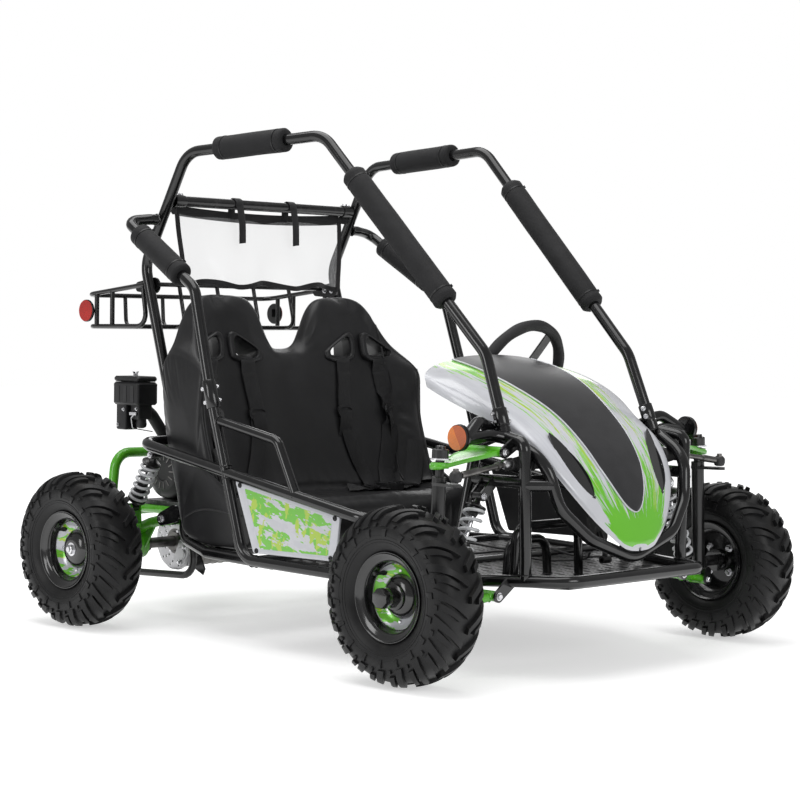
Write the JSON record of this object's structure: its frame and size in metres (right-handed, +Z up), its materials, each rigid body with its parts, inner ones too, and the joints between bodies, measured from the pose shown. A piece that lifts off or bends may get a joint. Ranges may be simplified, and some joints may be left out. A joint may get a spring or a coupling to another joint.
{
  "type": "off-road racing kart",
  "caption": "Two-seat off-road kart with a tube frame, roll cage, sprung axles, rack steering and a rear engine driving the back axle by chain.",
  "frame": {"origin": "centre of the kart's bounding box at floor level, under the tyres", "axes": "+Z up, -Y forwards towards the nose, +X to the driver's left"},
  "size_m": [1.17, 1.5079, 1.1333],
  "materials": {
    "arm_paint": "bright green powder coat",
    "black_steel": "black paint",
    "body_plastic": "gloss white with green graphics",
    "boot_rubber": "black boots",
    "bright_steel": "bare steel",
    "damper_paint": "black paint",
    "engine_case": "black covers",
    "foam": "matte black foam sleeve",
    "frame_paint": "gloss black powder coat",
    "grip_foam": "black foam grip",
    "panel_plastic": "satin dark grey",
    "rim_paint": "green and silver paint",
    "seat_vinyl": "black perforated vinyl",
    "spring_paint": "white powder coat",
    "tyre": "matte black"
  },
  "bodies": {
    "chassis": {"main_frame": "frame_paint", "front_frame": "frame_paint", "cage_tube_left": "frame_paint", "cage_tube_right": "frame_paint", "cage_crossbar": "frame_paint", "shoulder_bar_left": "frame_paint", "shoulder_bar_right": "frame_paint", "rear_basket": "frame_paint", "roof_pad_left": "foam", "roof_pad_right": "foam", "pillar_pad_left": "foam", "pillar_pad_right": "foam", "shoulder_pad_left": "foam", "shoulder_pad_right": "foam", "nose_cone": "body_plastic", "nose_centre_panel": "panel_plastic", "side_panel_left": "body_plastic", "side_panel_right": "body_plastic", "seat": "seat_vinyl", "rack_housing": "boot_rubber"},
    "swing_arm": {"swing_arm": "arm_paint", "engine": "engine_case", "drive_chain": "bright_steel"},
    "rear_axle": {"rear_axle": "bright_steel", "brake_disc": "bright_steel", "rear_rim_left": "rim_paint", "rear_rim_right": "rim_paint", "rear_tyre_left": "tyre", "rear_tyre_right": "tyre"},
    "clutch": {"clutch_sprocket": "bright_steel"},
    "rack": {"steering_rack": "bright_steel"},
    "steering_wheel": {"steering_wheel": "grip_foam"},
    "brake_pedal": {"brake_pedal": "black_steel"},
    "throttle_pedal": {"throttle_pedal": "black_steel"},
    "lower_arm_left": {"lower_arm_left": "arm_paint"},
    "upper_arm_left": {"upper_arm_left": "arm_paint"},
    "kingpin_left": {"kingpin_left": "black_steel"},
    "knuckle_left": {"knuckle_left": "black_steel"},
    "front_wheel_left": {"front_rim_left": "rim_paint", "front_tyre_left": "tyre"},
    "front_shock_upper_left": {"front_left_shock_upper": "damper_paint"},
    "front_shock_lower_left": {"front_left_shock_lower": "damper_paint", "front_left_shock_spring": "spring_paint"},
    "rear_shock_upper_left": {"rear_left_shock_upper": "damper_paint"},
    "rear_shock_lower_left": {"rear_left_shock_lower": "damper_paint", "rear_left_shock_spring": "spring_paint"},
    "tie_rod_left": {"tie_rod_left": "bright_steel"},
    "lower_arm_right": {"lower_arm_right": "arm_paint"},
    "upper_arm_right": {"upper_arm_right": "arm_paint"},
    "kingpin_right": {"kingpin_right": "black_steel"},
    "knuckle_right": {"knuckle_right": "black_steel"},
    "front_wheel_right": {"front_rim_right": "rim_paint", "front_tyre_right": "tyre"},
    "front_shock_upper_right": {"front_right_shock_upper": "damper_paint"},
    "front_shock_lower_right": {"front_right_shock_lower": "damper_paint", "front_right_shock_spring": "spring_paint"},
    "rear_shock_upper_right": {"rear_right_shock_upper": "damper_paint"},
    "rear_shock_lower_right": {"rear_right_shock_lower": "damper_paint", "rear_right_shock_spring": "spring_paint"},
    "tie_rod_right": {"tie_rod_right": "bright_steel"}
  },
  "joints": [
    {"name": "swing_arm_pivot", "type": "hinge", "parent": "chassis", "child": "swing_arm", "pos_m": [0, 0.3775, 0.247], "axis": [1, 0, 0], "range_deg": [-4, 8], "stiffness_Nm_per_rad": 1500},
    {"name": "rear_axle_spin", "type": "hinge", "parent": "swing_arm", "child": "rear_axle", "pos_m": [0, 0.4975, 0.1775], "axis": [1, 0, 0], "continuous": true},
    {"name": "clutch_spin", "type": "hinge", "parent": "swing_arm", "child": "clutch", "pos_m": [0.208, 0.622, 0.335], "axis": [1, 0, 0], "continuous": true},
    {"name": "steering_turn", "type": "hinge", "parent": "chassis", "child": "steering_wheel", "pos_m": [0.17, -0.25, 0.585], "axis": [0, 0.9226, 0.3857], "range_deg": [-120, 120]},
    {"name": "rack_slide", "type": "slide", "parent": "chassis", "child": "rack", "axis": [1, 0, 0], "range_m": [-0.0225, 0.0225]},
    {"name": "brake_press", "type": "hinge", "parent": "chassis", "child": "brake_pedal", "pos_m": [0.115, -0.56, 0.203], "axis": [1, 0, 0], "range_deg": [0, 16], "stiffness_Nm_per_rad": 3, "springref_deg": -8.59},
    {"name": "throttle_press", "type": "hinge", "parent": "chassis", "child": "throttle_pedal", "pos_m": [0.23, -0.56, 0.203], "axis": [1, 0, 0], "range_deg": [0, 16], "stiffness_Nm_per_rad": 3, "springref_deg": -8.59},
    {"name": "lower_arm_swing_left", "type": "hinge", "parent": "chassis", "child": "lower_arm_left", "pos_m": [0.303, -0.5725, 0.164], "axis": [0, -1, 0], "range_deg": [-4, 8], "stiffness_Nm_per_rad": 570, "springref_deg": -2.01},
    {"name": "upper_arm_swing_left", "type": "hinge", "parent": "chassis", "child": "upper_arm_left", "pos_m": [0.291, -0.5725, 0.452], "axis": [0, -1, 0], "range_deg": [-4, 8]},
    {"name": "kingpin_tilt_left", "type": "hinge", "parent": "lower_arm_left", "child": "kingpin_left", "pos_m": [0.432, -0.5725, 0.14], "axis": [0, -1, 0], "range_deg": [-8, 4]},
    {"name": "steer_knuckle_left", "type": "hinge", "parent": "kingpin_left", "child": "knuckle_left", "pos_m": [0.43044, -0.5725, 0.1775], "axis": [-0.0416, 0, 0.9991], "range_deg": [-24, 24]},
    {"name": "front_wheel_spin_left", "type": "hinge", "parent": "knuckle_left", "child": "front_wheel_left", "pos_m": [0.515, -0.5725, 0.1775], "axis": [1, 0, 0], "continuous": true},
    {"name": "front_shock_turn_left", "type": "hinge", "parent": "chassis", "child": "front_shock_upper_left", "pos_m": [0.306, -0.5725, 0.362], "axis": [0, -1, 0], "range_deg": [-0.5, 1]},
    {"name": "front_shock_slide_left", "type": "slide", "parent": "front_shock_upper_left", "child": "front_shock_lower_left", "axis": [0.3951, 0, -0.9186], "range_m": [-0.0125, 0.007], "deforming": ["front_left_shock_spring"]},
    {"name": "tie_rod_swing_left", "type": "hinge", "parent": "rack", "child": "tie_rod_left", "pos_m": [0.285, -0.6255, 0.428], "axis": [0, -1, 0], "range_deg": [-4, 8]},
    {"name": "rear_shock_turn_left", "type": "hinge", "parent": "chassis", "child": "rear_shock_upper_left", "pos_m": [0.352, 0.401, 0.394], "axis": [1, 0, 0], "range_deg": [-1, 2]},
    {"name": "rear_shock_slide_left", "type": "slide", "parent": "rear_shock_upper_left", "child": "rear_shock_lower_left", "axis": [0, 0.5165, -0.8563], "range_m": [-0.0145, 0.0075], "deforming": ["rear_left_shock_spring"]},
    {"name": "lower_arm_swing_right", "type": "hinge", "parent": "chassis", "child": "lower_arm_right", "pos_m": [-0.303, -0.5725, 0.164], "axis": [0, 1, 0], "range_deg": [-4, 8], "stiffness_Nm_per_rad": 570, "springref_deg": -2.01},
    {"name": "upper_arm_swing_right", "type": "hinge", "parent": "chassis", "child": "upper_arm_right", "pos_m": [-0.291, -0.5725, 0.452], "axis": [0, 1, 0], "range_deg": [-4, 8]},
    {"name": "kingpin_tilt_right", "type": "hinge", "parent": "lower_arm_right", "child": "kingpin_right", "pos_m": [-0.432, -0.5725, 0.14], "axis": [0, 1, 0], "range_deg": [-8, 4]},
    {"name": "steer_knuckle_right", "type": "hinge", "parent": "kingpin_right", "child": "knuckle_right", "pos_m": [-0.43044, -0.5725, 0.1775], "axis": [0.0416, 0, 0.9991], "range_deg": [-24, 24]},
    {"name": "front_wheel_spin_right", "type": "hinge", "parent": "knuckle_right", "child": "front_wheel_right", "pos_m": [-0.515, -0.5725, 0.1775], "axis": [1, 0, 0], "continuous": true},
    {"name": "front_shock_turn_right", "type": "hinge", "parent": "chassis", "child": "front_shock_upper_right", "pos_m": [-0.306, -0.5725, 0.362], "axis": [0, 1, 0], "range_deg": [-0.5, 1]},
    {"name": "front_shock_slide_right", "type": "slide", "parent": "front_shock_upper_right", "child": "front_shock_lower_right", "axis": [-0.3951, 0, -0.9186], "range_m": [-0.0125, 0.007], "deforming": ["front_right_shock_spring"]},
    {"name": "tie_rod_swing_right", "type": "hinge", "parent": "rack", "child": "tie_rod_right", "pos_m": [-0.285, -0.6255, 0.428], "axis": [0, 1, 0], "range_deg": [-4, 8]},
    {"name": "rear_shock_turn_right", "type": "hinge", "parent": "chassis", "child": "rear_shock_upper_right", "pos_m": [-0.352, 0.401, 0.394], "axis": [1, 0, 0], "range_deg": [-1, 2]},
    {"name": "rear_shock_slide_right", "type": "slide", "parent": "rear_shock_upper_right", "child": "rear_shock_lower_right", "axis": [0, 0.5165, -0.8563], "range_m": [-0.0145, 0.0075], "deforming": ["rear_right_shock_spring"]}
  ],
  "couplings": [
    {"joint": "clutch_spin", "follows": "rear_axle_spin", "ratio": 2.8462},
    {"joint": "rack_slide", "follows": "steering_turn", "m_per_rad": 0.0106},
    {"joint": "upper_arm_swing_left", "follows": "lower_arm_swing_left", "ratio": 1},
    {"joint": "kingpin_tilt_left", "follows": "lower_arm_swing_left", "ratio": -1},
    {"joint": "steer_knuckle_left", "follows": "steering_turn", "ratio": 0.2},
    {"joint": "front_shock_turn_left", "follows": "lower_arm_swing_left", "ratio": 0.095},
    {"joint": "front_shock_slide_left", "follows": "lower_arm_swing_left", "m_per_rad": -0.0813},
    {"joint": "tie_rod_swing_left", "follows": "lower_arm_swing_left", "ratio": 0.895},
    {"joint": "rear_shock_turn_left", "follows": "swing_arm_pivot", "ratio": 0.213},
    {"joint": "rear_shock_slide_left", "follows": "swing_arm_pivot", "m_per_rad": -0.0966},
    {"joint": "upper_arm_swing_right", "follows": "lower_arm_swing_right", "ratio": 1},
    {"joint": "kingpin_tilt_right", "follows": "lower_arm_swing_right", "ratio": -1},
    {"joint": "steer_knuckle_right", "follows": "steering_turn", "ratio": 0.2},
    {"joint": "front_shock_turn_right", "follows": "lower_arm_swing_right", "ratio": 0.095},
    {"joint": "front_shock_slide_right", "follows": "lower_arm_swing_right", "m_per_rad": -0.0813},
    {"joint": "tie_rod_swing_right", "follows": "lower_arm_swing_right", "ratio": 0.895},
    {"joint": "rear_shock_turn_right", "follows": "swing_arm_pivot", "ratio": 0.213},
    {"joint": "rear_shock_slide_right", "follows": "swing_arm_pivot", "m_per_rad": -0.0966}
  ]
}
